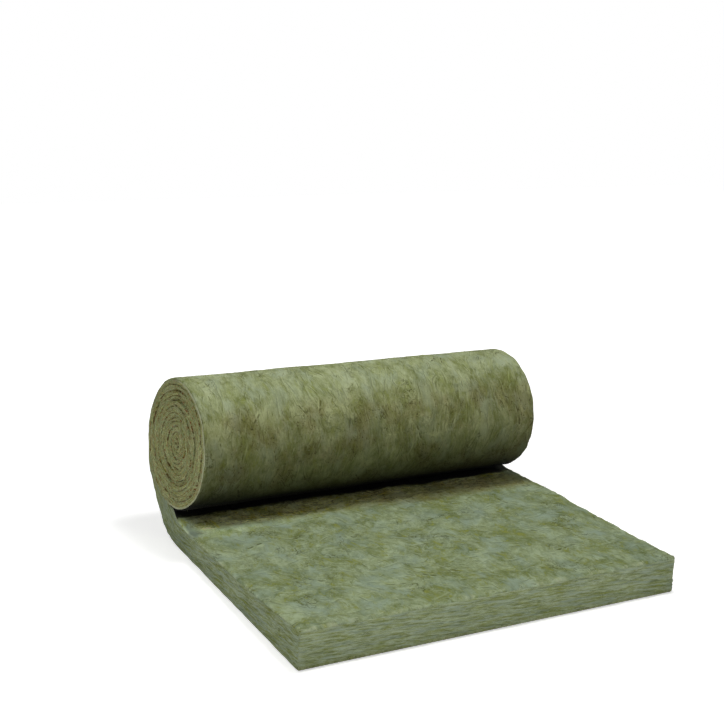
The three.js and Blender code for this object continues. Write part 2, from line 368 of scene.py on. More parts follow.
EDGE_V = 0.05  # the least height that a lap has in the UV map
LAP_CROWN = 0.002
CREVICE_DEPTH = 0.006
CREVICE_SWING = 0.010
LEAST_CREVICE = 0.002
CORE_DEPTH = 0.012
count = ROWS * (COLUMNS + 1)
for side in (-1, 1):
    outer, inner, hold = [part.copy() for part in sections[side]]
    column = 0 if side < 0 else COLUMNS
    axis = axis_at((side + 1) / 2)
    rim = verts[0].reshape(ROWS, COLUMNS + 1, 3)[:, column]
    outer[:TURN_END] = rim[:TURN_END, 1:]
    inner[: TIP + 1] = rim[TURN_END: CUT_TOP + 1, 1:][::-1]
    ids = [np.array([grid[0, column], *grid[CUT_TOP + 1:, column][::-1], grid[CUT_TOP, column]])]
    added = []
    core_id = None
    for i in range(1, CORE):
        shares = lap_shares(i)
        row = np.empty(len(shares), int)
        middle = outer[i] + (inner[i] - outer[i]) * shares[1:-1, None]
        crown = 1 - (2 * shares[1:-1] - 1) ** 4
        wound = smooth(i, TIP, JOIN)
        xs = side * WIDTH / 2 + hold[i] * slip(axis, middle[:, 0], middle[:, 1])
        xs += side * (proud[side][i] + LAP_CROWN * wound * (crown - 1))
        rim_gap = np.minimum(shares[1:-1], 1 - shares[1:-1]) * np.linalg.norm(inner[i] - outer[i])
        edging = (1 - wound) * np.exp(-((rim_gap / 0.004) ** 2))
        added.extend(np.column_stack([xs, middle, np.full(len(xs), wound), edging]))
        row[0] = grid[i, column] if i < TURN_END else ids[i - TURN_STATIONS][-1]
        row[1:-1] = count + np.arange(len(middle))
        count += len(middle)
        if i <= TIP:
            row[-1] = grid[CUT_TOP - i, column]
        elif i - TIP < CREVICE_STATIONS:
            deep = CREVICE_DEPTH + CREVICE_SWING * noise.noise(Vector((7 * run[side][i], 5 * side, 0.0)))
            sunk = side * (WIDTH / 2 - max(LEAST_CREVICE, deep))
            sunk = sunk + hold[i] * slip(axis, *inner[i]) + side * proud[side][i]
            added.append([sunk, *inner[i], wound, 0.0])
            row[-1] = count
            count += 1
        else:
            if core_id is None:
                added.append([side * (WIDTH / 2 - CORE_DEPTH), *axis, 1.0, 0.0])
                core_id = count
                count += 1
            row[-1] = core_id
        ids.append(row)
    added = np.array(added)
    verts.append(added[:, :3])
    wound_share.append(added[:, 3])
    brink.append(added[:, 4])

    # each point's id and its place in the UV map, station by station, and the faces between them
    thick = np.linalg.norm(inner - outer, axis=1)
    stations = []
    for i in range(CORE):
        heights = lap_shares(i) * max(thick[i], EDGE_V)
        stations.append([(int(point), run[side][i], v) for point, v in zip(ids[i], heights)])
    for here, there in zip(stations, stations[1:]):
        step = (len(here) - 1) // (len(there) - 1)
        for j in range(len(there) - 1):
            loop = [here[step * j], there[j], there[j + 1], *here[step * (j + 1): step * j: -1]]
            loop = [corner for before, corner in zip([loop[-1], *loop], loop) if corner[0] != before[0]]
            if len(loop) < 3:
                continue
            if side < 0:
                loop.reverse()
            faces.append([corner[0] for corner in loop])
            face_uvs.append([corner[1:] for corner in loop])
            kinds.append(EDGE)

layered = np.ones(count)
layered[: ROWS * (COLUMNS + 1)] = 0
layered[grid[CUT_TOP + 1:].ravel()] = 1
corner_ids = np.array([corner_id for face in faces for corner_id in face])
used, compact = np.unique(corner_ids, return_inverse=True)
face_ends = np.cumsum([len(face) for face in faces])[:-1]
positions = np.concatenate(verts)[used]
blanket_mesh = bpy.data.meshes.new("wool_blanket")
blanket_mesh.from_pydata(positions.tolist(), [], [part.tolist() for part in np.split(compact, face_ends)])
lie_map = blanket_mesh.uv_layers.new(name="lie")
lie_map.data.foreach_set("uv", np.array([spot for uvs in face_uvs for spot in uvs], np.float32).ravel())


def mark(name, values, kind="FLOAT", domain="POINT"):
    numbers = np.asarray(values, np.float32 if kind == "FLOAT" else np.int32)
    blanket_mesh.attributes.new(name, kind, domain).data.foreach_set("value", numbers)


mark("wound", np.concatenate(wound_share)[used])
from_axis = positions[:, 1:] - axis_at(np.clip(positions[:, 0] / WIDTH + 0.5, 0, 1))
mark("outward", np.linalg.norm(from_axis, axis=1) / ROLL_RADIUS)
mark("brink", np.concatenate(brink)[used])
mark("kind", kinds, "INT", "FACE")
LAST_TURN_TAUT = 0.45
taut = np.zeros(len(used))
taut[np.isin(used, grid[JOIN: TURN_END].ravel())] = LAST_TURN_TAUT
mark("free", smooth(positions[:, 2], 0.001, 0.012) * (1 - taut))
mark("layered", layered[used])
on_the_ends = np.zeros(count - painted_shading.size)
mark("painted_shading", np.append(painted_shading, on_the_ends)[used])
mark("wrinkled", np.append(wrinkled, on_the_ends)[used])
blanket_mesh.polygons.foreach_set("use_smooth", np.ones(len(faces), bool))

# the last turn pinches off at each core and leaves a small hole, which a face closes
closing = bmesh.new()
closing.from_mesh(blanket_mesh)
open_edges = [edge for edge in closing.edges if edge.is_boundary]
kind_layer = closing.faces.layers.int["kind"]
for face in bmesh.ops.holes_fill(closing, edges=open_edges, sides=0)["faces"]:
    face[kind_layer] = EDGE
closing.to_mesh(blanket_mesh)
closing.free()
blanket = bpy.data.objects.new("wool_blanket", blanket_mesh)
bpy.context.scene.collection.objects.link(blanket)


def add_node(tree, kind, inputs=(), **settings):
    """A new node, with its settings, and its inputs set to values or linked to sockets."""
    made = tree.nodes.new(kind)
    for name, value in settings.items():
        setattr(made, name, value)
    for name, value in dict(inputs).items():
        if isinstance(value, bpy.types.NodeSocket):
            tree.links.new(value, made.inputs[name])
        else:
            made.inputs[name].default_value = value
    return made


def math_node(tree, operation, *values, clamp=False):
    made = add_node(tree, "ShaderNodeMath", enumerate(values), operation=operation, use_clamp=clamp)
    return made.outputs[0]


def chained(tree, operation, *values):
    """One operation from each value to the next: their product, their sum or the largest of them."""
    return reduce(partial(math_node, tree, operation), values)


def vector_node(tree, operation, first, second, scale=None):
    inputs = {0: first}
    if second is not None:
        inputs[1] = second
    if scale is not None:
        inputs["Scale"] = scale
    return add_node(tree, "ShaderNodeVectorMath", inputs, operation=operation).outputs[0]


def noise_node(tree, place, scale, detail, roughness=0.5, distortion=0.0, output="Fac"):
    inputs = {"Vector": place, "Scale": scale, "Detail": detail}
    inputs.update({"Roughness": roughness, "Distortion": distortion})
    return add_node(tree, "ShaderNodeTexNoise", inputs).outputs[output]


def ramp_node(tree, value, low, high, to_low=0.0, to_high=1.0, shape="SMOOTHSTEP"):
    inputs = {"Value": value, "From Min": low, "From Max": high, "To Min": to_low, "To Max": to_high}
    return add_node(tree, "ShaderNodeMapRange", inputs, interpolation_type=shape).outputs[0]


def mix_node(tree, factor, first, second, blend="MIX"):
    inputs = {0: factor, 6: first, 7: second}
    return add_node(tree, "ShaderNodeMix", inputs, data_type="RGBA", blend_type=blend).outputs[2]


def mix_value(tree, factor, first, second):
    return add_node(tree, "ShaderNodeMix", {0: factor, 2: first, 3: second}, data_type="FLOAT").outputs[0]


def painted(tree, name):
    """A mark on the mesh, as a material reads it."""
    return add_node(tree, "ShaderNodeAttribute", attribute_name=name).outputs["Fac"]


def mark_of(tree, name, kind="FLOAT"):
    """A mark on the mesh, as a Geometry Nodes tree reads it."""
    made = add_node(tree, "GeometryNodeInputNamedAttribute", {"Name": name}, data_type=kind)
    return made.outputs["Attribute"]


def lie_of(tree):
    """Place along and across the mat, as it is laid out in the UV map."""
    return add_node(tree, "ShaderNodeUVMap", uv_map="lie").outputs[0]


def spot_of(tree):
    return add_node(tree, "ShaderNodeTexCoord").outputs["Object"]


def shaded(tree, color, painted_shading):
    """Colour under the painted shading: near black as painted shade in the nip, brighter as painted light
    below 0.
    """
    brightness = ramp_node(tree, painted_shading, -4.0, 1.99, 3.0, 0.005, "LINEAR")
    return vector_node(tree, "SCALE", color, None, brightness)


def paint(code):
    """A hex colour as written, turned linear."""
    levels = [int(code[i: i + 2], 16) / 255 for i in (1, 3, 5)]
    return (*[c / 12.92 if c <= 0.04045 else ((c + 0.055) / 1.055) ** 2.4 for c in levels], 1.0)


def socket(group, name, way, kind, value=None):
    made = group.interface.new_socket(name=name, in_out=way, socket_type="NodeSocket" + kind)
    if value is not None:
        made.default_value = value
    return made


def streaks(tree, place, turn, scale, slenderness):
    """Fine parallel fibres: noise drawn out along one direction of the lie."""
    inputs = {"Vector": place, "Rotation": (0, 0, math.radians(turn))}
    turned = add_node(tree, "ShaderNodeMapping", inputs).outputs[0]
    drawn = vector_node(tree, "MULTIPLY", turned, (1.0, slenderness, 1.0))
    return noise_node(tree, drawn, scale, 3.0, 0.6, 0.25)


def strand_marks(tree, place, swing, lean, scale, chance, length, width, curl, apart=0.0):
    """Short curved strands in some of the cells of a face, one or a mirrored pair in each: the strand
    and its shade."""
    cells = {"Vector": place, "Scale": scale, "Randomness": 0.9}
    cell = add_node(tree, "ShaderNodeTexVoronoi", cells).outputs
    lot = add_node(tree, "ShaderNodeSeparateColor", {0: cell["Color"]}).outputs
    turn = math_node(tree, "MULTIPLY_ADD", math_node(tree, "SUBTRACT", lot[1], 0.5), swing, lean)
    within = vector_node(tree, "SUBTRACT", place, cell["Position"])
    inputs = {"Vector": within, "Angle": turn}
    turned = add_node(tree, "ShaderNodeVectorRotate", inputs, rotation_type="Z_AXIS").outputs[0]
    along, aside, _ = add_node(tree, "ShaderNodeSeparateXYZ", {0: turned}).outputs
    along = math_node(tree, "SUBTRACT", math_node(tree, "ABSOLUTE", along), apart)
    bow = math_node(tree, "MULTIPLY", math_node(tree, "SUBTRACT", lot[2], 0.3), curl)
    arc = chained(tree, "MULTIPLY", along, along, bow)
    off = math_node(tree, "SUBTRACT", aside, arc)
    below = math_node(tree, "ADD", off, width * 1.3)
    reach = ramp_node(tree, math_node(tree, "ABSOLUTE", along), length, length * 0.4)
    reach = math_node(tree, "MULTIPLY", reach, ramp_node(tree, lot[0], chance, chance - 0.15))
    strand, shade = [
        ramp_node(tree, math_node(tree, "ABSOLUTE", gap), width, width * 0.2) for gap in (off, below)]
    return math_node(tree, "MULTIPLY", reach, strand), math_node(tree, "MULTIPLY", reach, shade)


def mottle_group():
    """The face of the mat: soft flocks of paler wool over olive, their edges drawn out along the lie,
    fine combed fibres over them, and stray strands."""
    group = bpy.data.node_groups.new("wool_mottle", "ShaderNodeTree")
    socket(group, "Place", "INPUT", "Vector")
    socket(group, "Stretch", "INPUT", "Vector", (1, 1, 1))
    for name, value in (("Patch Scale", 11.0), ("Contrast", 1.0), ("Yellow Share", 1.0), ("Strands", 1.0),
                        ("Swing", 2.4), ("Lean", 0.0), ("Fibre", 1.0)):
        socket(group, name, "INPUT", "Float", value)
    for name in ("Dark", "Pale", "Yellow", "Grey"):
        socket(group, name, "INPUT", "Color")
    socket(group, "Color", "OUTPUT", "Color")
    socket(group, "Tuft", "OUTPUT", "Float")
    given = add_node(group, "NodeGroupInput").outputs
    scale = given["Patch Scale"]
    flat = vector_node(group, "MULTIPLY", given["Place"], given["Stretch"])
    times, plus, largest = [partial(chained, group, name) for name in ("MULTIPLY", "ADD", "MAXIMUM")]

    def centred(value, share):
        return times(math_node(group, "SUBTRACT", value, 0.5), share)

    def moved(place, by):
        return vector_node(group, "ADD", place, by)

    push = noise_node(group, flat, times(scale, 0.55), 1.5, 0.5, output="Color")
    push = vector_node(group, "SUBTRACT", push, (0.5, 0.5, 0.5))
    bent = moved(flat, vector_node(group, "SCALE", push, None, math_node(group, "DIVIDE", 1.0, scale)))
    brush = streaks(group, bent, 0.0, times(scale, 1.8), 5.0)
    frayed = math_node(group, "DIVIDE", centred(brush, 0.9), scale)
    feathered = moved(bent, add_node(group, "ShaderNodeCombineXYZ", {0: frayed}).outputs[0])

    cloud = noise_node(group, bent, times(scale, 0.55), 2.0, 0.5)
    flock = noise_node(group, moved(feathered, (3.3, 1.9, 7.0)), times(scale, 1.5), 2.0, 0.5)
    tufts = noise_node(group, moved(bent, (8.1, 6.4, 2.0)), times(scale, 4.2), 3.0, 0.6)
    sheets = noise_node(group, moved(feathered, (4.4, 0.6, 9.0)), times(scale, 0.8), 2.0, 0.45)
    sheet = math_node(group, "FRACT", times(sheets, 7.0))
    shown = noise_node(group, moved(bent, (9.9, 2.1, 3.0)), times(scale, 1.6), 1.0)
    sheet = centred(sheet, ramp_node(group, shown, 0.46, 0.58))
    comb = noise_node(group, moved(flat, (2.2, 9.1, 4.0)), times(scale, 0.8), 1.0)
    combed = [streaks(group, bent, turn, times(scale, 3.2), 4.5) for turn in (24.0, -22.0)]
    strand = mix_value(group, ramp_node(group, comb, 0.46, 0.54), combed[1], combed[0])
    fibre = streaks(group, feathered, -8.0, times(scale, 11.0), 4.0)
    grain = noise_node(group, flat, 170.0, 2.0, 0.6)

    drawn = times(plus(centred(strand, 0.50), centred(fibre, 0.55)), given["Fibre"])
    tone = plus(centred(cloud, 0.48), centred(flock, 0.62), centred(tufts, 0.60), centred(grain, 0.26),
                drawn, times(sheet, 0.16))
    paleness = math_node(group, "ADD", times(tone, times(given["Contrast"], 2.0)), 0.5, clamp=True)
    color = mix_node(group, paleness, given["Dark"], given["Pale"])
    hue = noise_node(group, moved(feathered, (13.7, 4.1, 2.9)), times(scale, 1.15), 3.0, 0.6)
    specks = noise_node(group, moved(feathered, (6.7, 3.1, 5.5)), times(scale, 4.5), 2.0, 0.5)
    yellow = plus(ramp_node(group, hue, 0.46, 0.78, 0.0, 0.65, "LINEAR"),
                  times(ramp_node(group, specks, 0.55, 0.66), 0.85))
    yellow = times(yellow, math_node(group, "SUBTRACT", 1.1, times(paleness, 0.8)))
    color = mix_node(group, times(yellow, given["Yellow Share"]), color, given["Yellow"])
    color = mix_node(group, ramp_node(group, hue, 0.50, 0.30, 0.0, 0.8, "LINEAR"), color, given["Grey"])

    crinkle = noise_node(group, moved(bent, (5.2, 8.8, 1.0)), times(scale, 2.6), 3.0)
    rumpled = noise_node(group, moved(bent, (1.7, 2.2, 6.1)), times(scale, 0.9), 2.0)
    bunched = ramp_node(group, rumpled, 0.56, 0.65)
    to_crease = math_node(group, "ABSOLUTE", math_node(group, "SUBTRACT", crinkle, 0.5))
    pits = ramp_node(group, noise_node(group, moved(flat, (2.5, 6.6, 8.0)), 75.0, 2.0, 0.6), 0.40, 0.32)
    creased = times(largest(ramp_node(group, to_crease, 0.030, 0.004), pits), bunched)
    crest = times(ramp_node(group, crinkle, 0.512, 0.524), ramp_node(group, crinkle, 0.546, 0.532), bunched)
    swing, lean = given["Swing"], given["Lean"]
    wisp_lit, wisp_shade = strand_marks(
        group, moved(bent, (1.1, 4.9, 0.0)), swing, lean,
        scale=12.0, chance=0.95, length=0.038, width=0.0048, curl=7.0)
    long_lit, long_shade = strand_marks(
        group, bent, swing, lean,
        scale=17.0, chance=0.55, length=0.018, width=0.0024, curl=16.0)
    short_lit, short_shade = strand_marks(
        group, moved(bent, (7.7, 2.9, 0.0)), swing, lean,
        scale=34.0, chance=0.4, length=0.009, width=0.0016, curl=30.0)
    hooks, hook_lit = strand_marks(
        group, moved(bent, (3.1, 5.3, 0.0)), 1.8, lean,
        scale=7.0, chance=0.42, length=0.013, width=0.0046, curl=45.0, apart=0.014)
    # strands: pale fibres lit as a painted highlight, with a painted shade beside each; hooks and creases
    # are painted shade
    lit = largest(times(long_lit, 0.34), times(short_lit, 0.36), times(wisp_lit, 0.20))
    lit = times(lit, given["Strands"])
    shade = largest(times(long_shade, 0.50), times(short_shade, 0.50), times(wisp_shade, 0.24),
                    times(hooks, 0.7), times(creased, 0.60))
    shade = times(shade, given["Strands"])
    # crease crests and the hooks' sides join the painted highlight
    lit = largest(lit, times(largest(hook_lit, crest), 0.4))
    # the colours of the painted highlight and of the painted shade
    light = mix_node(group, 1.0, given["Pale"], (1.18, 1.18, 1.16, 1), "MULTIPLY")
    deep = mix_node(group, 1.0, given["Dark"], (0.52, 0.47, 0.36, 1), "MULTIPLY")
    color = mix_node(group, times(shade, 0.85), color, deep)
    color = mix_node(group, lit, color, light)
    tuft = plus(tone, times(drawn, 0.5), times(sheet, 0.30))
    tuft = math_node(group, "SUBTRACT", tuft, times(shade, 0.30))
    add_node(group, "NodeGroupOutput", {"Color": color, "Tuft": plus(tuft, times(lit, 0.12))})
    return group


wool_mottle = mottle_group()


def wool_material(name, finish, colors, settings, turn, rim_fray_and_highlight, bump=0.8):
    """Mottled wool, turned on the lie of the mat, with a paler rim, frayed fibres and a painted highlight,
    and its own finish.
    """
    material = bpy.data.materials.new(name)
    material.use_nodes = True
    tree = material.node_tree
    shader = tree.nodes["Principled BSDF"]
    shader.inputs["Roughness"].default_value = 0.95
    shader.inputs["Specular IOR Level"].default_value = 0.10
    lie = lie_of(tree)
    inputs = {"Vector": lie, "Rotation": (0, 0, math.radians(turn))}
    place = add_node(tree, "ShaderNodeMapping", inputs).outputs[0]
    inputs = {"Place": place, **settings, **{key: paint(code) for key, code in colors.items()}}
    mottle = add_node(tree, "ShaderNodeGroup", inputs, node_tree=wool_mottle).outputs
    fine = noise_node(tree, vector_node(tree, "MULTIPLY", place, settings["Stretch"]), 240.0, 3.0, 0.65)
    height = math_node(tree, "ADD", mottle["Tuft"], math_node(tree, "MULTIPLY", fine, 0.06))
    # paler along the brink: frayed fibres, and a painted highlight on the rims and the cut's top edge
    frayed = ramp_node(tree, noise_node(tree, lie, 24.0, 5.0, 0.7), 0.46, 0.66, 0.0, rim_fray_and_highlight)
    frayed = math_node(tree, "MULTIPLY", painted(tree, "brink"), frayed)
    color = mix_node(tree, frayed, mottle["Color"], paint("#b0b998"))
    color, relief = finish(tree, color, place)
    height = math_node(tree, "ADD", height, relief)
    tree.links.new(color, shader.inputs["Base Color"])
    made = add_node(tree, "ShaderNodeBump", {"Height": height, "Distance": 0.012, "Strength": bump})
    tree.links.new(made.outputs[0], shader.inputs["Normal"])
    return material


def wound_laps(tree, color, place):
    """Browner, speckled wool on the wound ends: broken rust-brown lines down between the turns, finer
    lines between the layers of each turn, and a pale painted highlight on the last lap's rim, towards the
    front."""
    times, plus = partial(chained, tree, "MULTIPLY"), partial(chained, tree, "ADD")
    wound = painted(tree, "wound")
    lie = lie_of(tree)
    spot = spot_of(tree)
    across = add_node(tree, "ShaderNodeSeparateXYZ", {0: lie}).outputs[1]
    to_crevice = math_node(tree, "MINIMUM", across, math_node(tree, "SUBTRACT", EDGE_V, across))
    to_layer = math_node(tree, "PINGPONG", across, EDGE_V / 6)
    wobble = math_node(tree, "SUBTRACT", noise_node(tree, spot, 110.0, 3.0, 0.6), 0.5)
    crevice = ramp_node(tree, plus(to_crevice, times(wobble, 0.024)), 0.0062, 0.0006)
    crevice = times(crevice, ramp_node(tree, noise_node(tree, spot, 42.0, 3.0, 0.65), 0.42, 0.58, 0.1, 1.0))
    layer = ramp_node(tree, plus(to_layer, times(wobble, 0.010)), 0.0040, 0.0008)
    layer = times(layer, ramp_node(tree, noise_node(tree, spot, 70.0, 2.0, 0.6), 0.46, 0.60), 0.6)
    lit = times(math_node(tree, "SUBTRACT", 1.0, crevice), ramp_node(tree, wobble, 0.06, 0.16))
    speckle = ramp_node(tree, noise_node(tree, spot, 210.0, 3.0, 0.7), 0.34, 0.66, 0.63, 1.23, "LINEAR")
    tint = noise_node(tree, vector_node(tree, "MULTIPLY", lie, (58.0, 170.0, 1.0)), 1.0, 4.0, 0.7, 0.4)
    tan = mix_node(tree, 1.0, color, (1.42, 1.27, 0.97, 1), "MULTIPLY")
    tan = mix_node(tree, ramp_node(tree, tint, 0.51, 0.62, 0.0, 0.9), tan, paint("#99693f"))
    tan = mix_node(tree, ramp_node(tree, tint, 0.52, 0.36, 0.0, 0.85), tan, paint("#9ab07e"))
    tan = vector_node(tree, "SCALE", tan, None, speckle)
    tan = mix_node(tree, times(lit, 0.5), tan, paint("#b4b78c"))
    tan = mix_node(tree, layer, tan, paint("#5d5334"))
    tan = mix_node(tree, times(crevice, 0.72), tan, paint("#553820"))
    # a painted highlight along the last lap's rim, broken up and only towards the front
    torn = ramp_node(tree, noise_node(tree, spot, 55.0, 3.0, 0.6), 0.36, 0.56, 0.45, 0.9)
    back = add_node(tree, "ShaderNodeSeparateXYZ", {0: spot}).outputs[1]
    forward = ramp_node(tree, back, 0.42, 0.30, 0.15, 1.0)
    lit_last_lap = ramp_node(tree, painted(tree, "outward"), 0.935, 0.958)
    tan = mix_node(tree, times(lit_last_lap, torn, forward), tan, paint("#ccd1ac"))
    relief = plus(times(speckle, 0.12), times(crevice, -0.35), times(layer, -0.3))
    return mix_node(tree, wound, color, tan), times(relief, wound)


def painted_shade_finish(tree, color, place):
    """Wool under the painted shading: dark in painted shade, with browner patches and dark pits where that
    shade falls, and small wrinkles just in front of the nip, painted shade in their folds, highlight on
    crests."""
    times, plus = partial(chained, tree, "MULTIPLY"), partial(chained, tree, "ADD")
    painted_shading = painted(tree, "painted_shading")
    wrinkled = painted(tree, "wrinkled")
    # low: where the painted shade falls, and the wrinkled stretch before the nip
    low = math_node(tree, "MAXIMUM", ramp_node(tree, painted_shading, 0.05, 0.50), wrinkled)
    brown = times(ramp_node(tree, noise_node(tree, place, 8.0, 4.0, 0.65), 0.46, 0.62), low)
    pits = ramp_node(tree, noise_node(tree, place, 105.0, 3.0, 0.65), 0.43, 0.32)
    pits = times(pits, plus(times(low, 0.3), brown))
    inputs = {"Vector": lie_of(tree), "Rotation": (0, 0, 0.2), "Scale": (9, 32, 1)}
    slant = add_node(tree, "ShaderNodeMapping", inputs).outputs[0]
    fold = math_node(tree, "SUBTRACT", noise_node(tree, slant, 1.0, 3.0, 0.55, 0.6), 0.5)
    wrinkle = times(ramp_node(tree, math_node(tree, "ABSOLUTE", fold), 0.030, 0.006), wrinkled)
    crest = times(ramp_node(tree, fold, 0.02, 0.07), ramp_node(tree, fold, 0.12, 0.07), wrinkled)
    # tints on the painted shade: browner patches, dark pits, warm casts, painted shade in wrinkles, highlit
    # crests
    tints = (
        (brown, (0.83, 0.77, 0.70)),
        (pits, (0.42, 0.39, 0.33)),
        (low, (1.04, 1.0, 0.88)),
        (wrinkled, (1.12, 0.99, 0.86)),
        (times(wrinkle, 0.7), (0.45, 0.42, 0.34)),
        (times(crest, 0.5), (1.4, 1.36, 1.3)))
    for amount, tint in tints:
        color = mix_node(tree, amount, color, (*tint, 1), "MULTIPLY")
    relief = math_node(tree, "SUBTRACT", times(crest, 0.15), times(plus(wrinkle, pits), 0.25))
    return shaded(tree, color, painted_shading), relief


outer_wool = wool_material(
    "outer_wool", painted_shade_finish,
    {"Dark": "#727b49", "Pale": "#b1ba90", "Yellow": "#929c57", "Grey": "#a5b194"},
    {"Stretch": (1, 1.4, 1), "Patch Scale": 9.6, "Contrast": 1.18, "Yellow Share": 0.6,
     "Strands": 1.25, "Swing": 1.0, "Lean": -0.1, "Fibre": 0.58},
    turn=90, rim_fray_and_highlight=0.9)
inner_wool = wool_material(
    "inner_wool", painted_shade_finish,
    {"Dark": "#68754a", "Pale": "#a2b08e", "Yellow": "#858d46", "Grey": "#92a38f"},
    {"Stretch": (1, 1, 1), "Patch Scale": 11.0, "Contrast": 1.26, "Yellow Share": 0.95,
     "Strands": 1.25, "Swing": 1.6, "Lean": 1.09, "Fibre": 0.45},
    turn=90, rim_fray_and_highlight=0.7)
edge_wool = wool_material(
    "edge_wool", wound_laps,
    {"Dark": "#717d50", "Pale": "#bbc8a6", "Yellow": "#98a255", "Grey": "#a3b3a0"},
    {"Stretch": (1, 7.5, 1), "Patch Scale": 14.0, "Contrast": 1.8, "Yellow Share": 1.15,
     "Strands": 0.0, "Swing": 1.0, "Lean": 0.0, "Fibre": 1.1},
    turn=4, rim_fray_and_highlight=0.6, bump=0.6)


def relief_tree():
    """Lumps of springy wool on every free face, folds in front of the nip, and the layers of the mat
    standing out on its cut edges."""
    tree = bpy.data.node_groups.new("wool_relief", "GeometryNodeTree")
    wools = ("Outer Wool", "Inner Wool", "Edge Wool")
    socket(tree, "Geometry", "INPUT", "Geometry")
    for name in ("Lump Height", "Tuft Height", "Layer Height", "Fold Height"):
        socket(tree, name, "INPUT", "Float")
    for name in wools:
        socket(tree, name, "INPUT", "Material")
    socket(tree, "Geometry", "OUTPUT", "Geometry")
    given = add_node(tree, "NodeGroupInput").outputs
    times, plus = partial(chained, tree, "MULTIPLY"), partial(chained, tree, "ADD")

    def centred(place, *settings):
        return math_node(tree, "SUBTRACT", noise_node(tree, place, *settings), 0.5)

    place = add_node(tree, "GeometryNodeInputPosition").outputs[0]
    lie = mark_of(tree, "lie", "FLOAT_VECTOR")
    on_layers = vector_node(tree, "MULTIPLY", lie, (14.0, 110.0, 1.0))
    on_folds = vector_node(tree, "MULTIPLY", lie, (9.0, 32.0, 1.0))
    lumps = times(centred(place, 7.0, 2.0), given["Lump Height"])
    tufts = times(centred(place, 30.0, 3.0, 0.6), given["Tuft Height"])
    layers = times(centred(on_layers, 1.0, 2.0), given["Layer Height"], mark_of(tree, "layered"))
    folds = times(centred(on_folds, 1.0, 1.0), given["Fold Height"], mark_of(tree, "wrinkled"))
    height = times(plus(plus(lumps, tufts), plus(layers, folds)), mark_of(tree, "free"))
    normal = add_node(tree, "GeometryNodeInputNormal").outputs[0]
    offset = vector_node(tree, "SCALE", normal, None, height)
    inputs = {"Geometry": given["Geometry"], "Offset": offset}
    shape = add_node(tree, "GeometryNodeSetPosition", inputs).outputs[0]
    shape = add_node(tree, "GeometryNodeRealizeInstances", {"Geometry": shape}).outputs[0]
    kind_of_face = mark_of(tree, "kind", "INT")
    for number, name in enumerate(wools):
        inputs = {"A": kind_of_face, "B": number}
        chosen = add_node(tree, "FunctionNodeCompare", inputs, data_type="INT", operation="EQUAL")
        inputs = {"Geometry": shape, "Selection": chosen.outputs[0], "Material": given[name]}
        shape = add_node(tree, "GeometryNodeSetMaterial", inputs).outputs[0]
    add_node(tree, "NodeGroupOutput", {"Geometry": shape})
    return tree


def apply_tree(piece, tree, inputs):
    """Runs a Geometry Nodes tree on a piece and keeps the result as its plain mesh."""
    modifier = piece.modifiers.new(tree.name, "NODES")
    modifier.node_group = tree
    for item in tree.interface.items_tree:
        if item.item_type == "SOCKET" and item.in_out == "INPUT" and item.name in inputs:
            modifier[item.identifier] = inputs[item.name]
    shaped = bpy.data.meshes.new_from_object(piece.evaluated_get(bpy.context.evaluated_depsgraph_get()))
    piece.modifiers.remove(modifier)
    piece.data = shaped


heights = {"Lump Height": 0.010, "Tuft Height": 0.008, "Layer Height": 0.014, "Fold Height": 0.016}
wools = {"Outer Wool": outer_wool, "Inner Wool": inner_wool, "Edge Wool": edge_wool}
apply_tree(blanket, relief_tree(), {**heights, **wools})
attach(blanket, "root")
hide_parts("insulation_blanket")

# ---------------------------------------------------------------------------------------------------
# Stray wool. Short loose strands that lie on the mat and on its cut edges, with both ends caught in
# it, thickest along the rims where the knife pulled them out.
STRAY_LENGTH = 0.030
STRAY_RADIUS = 0.00038
STRAY_BOW = 0.004
STRAY_RISE = 0.0018
STRAY_SINK = 0.0042
STRAY_CLEARANCE = 0.0002
STRAY_STEPS = 6
LAST_RING = 3 * STRAY_STEPS
stray_verts = []
for step in np.linspace(-1, 1, STRAY_STEPS + 1):
    bowed, raised = STRAY_BOW * (1 - step * step), STRAY_RISE - STRAY_SINK * step * step
    spine = Vector((step * STRAY_LENGTH / 2, bowed, raised))
    girth = STRAY_RADIUS * (1 - 0.6 * abs(step))
    for turn in (90, 210, 330):
        angle = math.radians(turn)
        stray_verts.append(spine + Vector((0, girth * math.cos(angle), girth * math.sin(angle))))
stray_faces = [(2, 1, 0), (LAST_RING, LAST_RING + 1, LAST_RING + 2)]
for ring in range(0, LAST_RING, 3):
    for side in range(3):
        after = (side + 1) % 3
        stray_faces.append((ring + side, ring + after, ring + 3 + after, ring + 3 + side))
strand_mesh = bpy.data.meshes.new("one_strand")
strand_mesh.from_pydata(stray_verts, [], stray_faces)
strand_mesh.polygons.foreach_set("use_smooth", np.ones(len(stray_faces), bool))
one_strand = bpy.data.objects.new("one_strand", strand_mesh)

stray_wool = bpy.data.materials.new("stray_wool")
stray_wool.use_nodes = True
tree = stray_wool.node_tree
shader = tree.nodes["Principled BSDF"]
shader.inputs["Roughness"].default_value = 0.8
shader.inputs["Specular IOR Level"].default_value = 0.3
tint = noise_node(tree, spot_of(tree), 60.0, 2.0)
color = mix_node(tree, ramp_node(tree, tint, 0.35, 0.65), paint("#8a9462"), paint("#c3cba6"))
# the strands carry the painted shade and painted light of the mat where they lie
tree.links.new(shaded(tree, color, painted(tree, "painted_shading")), shader.inputs["Base Color"])


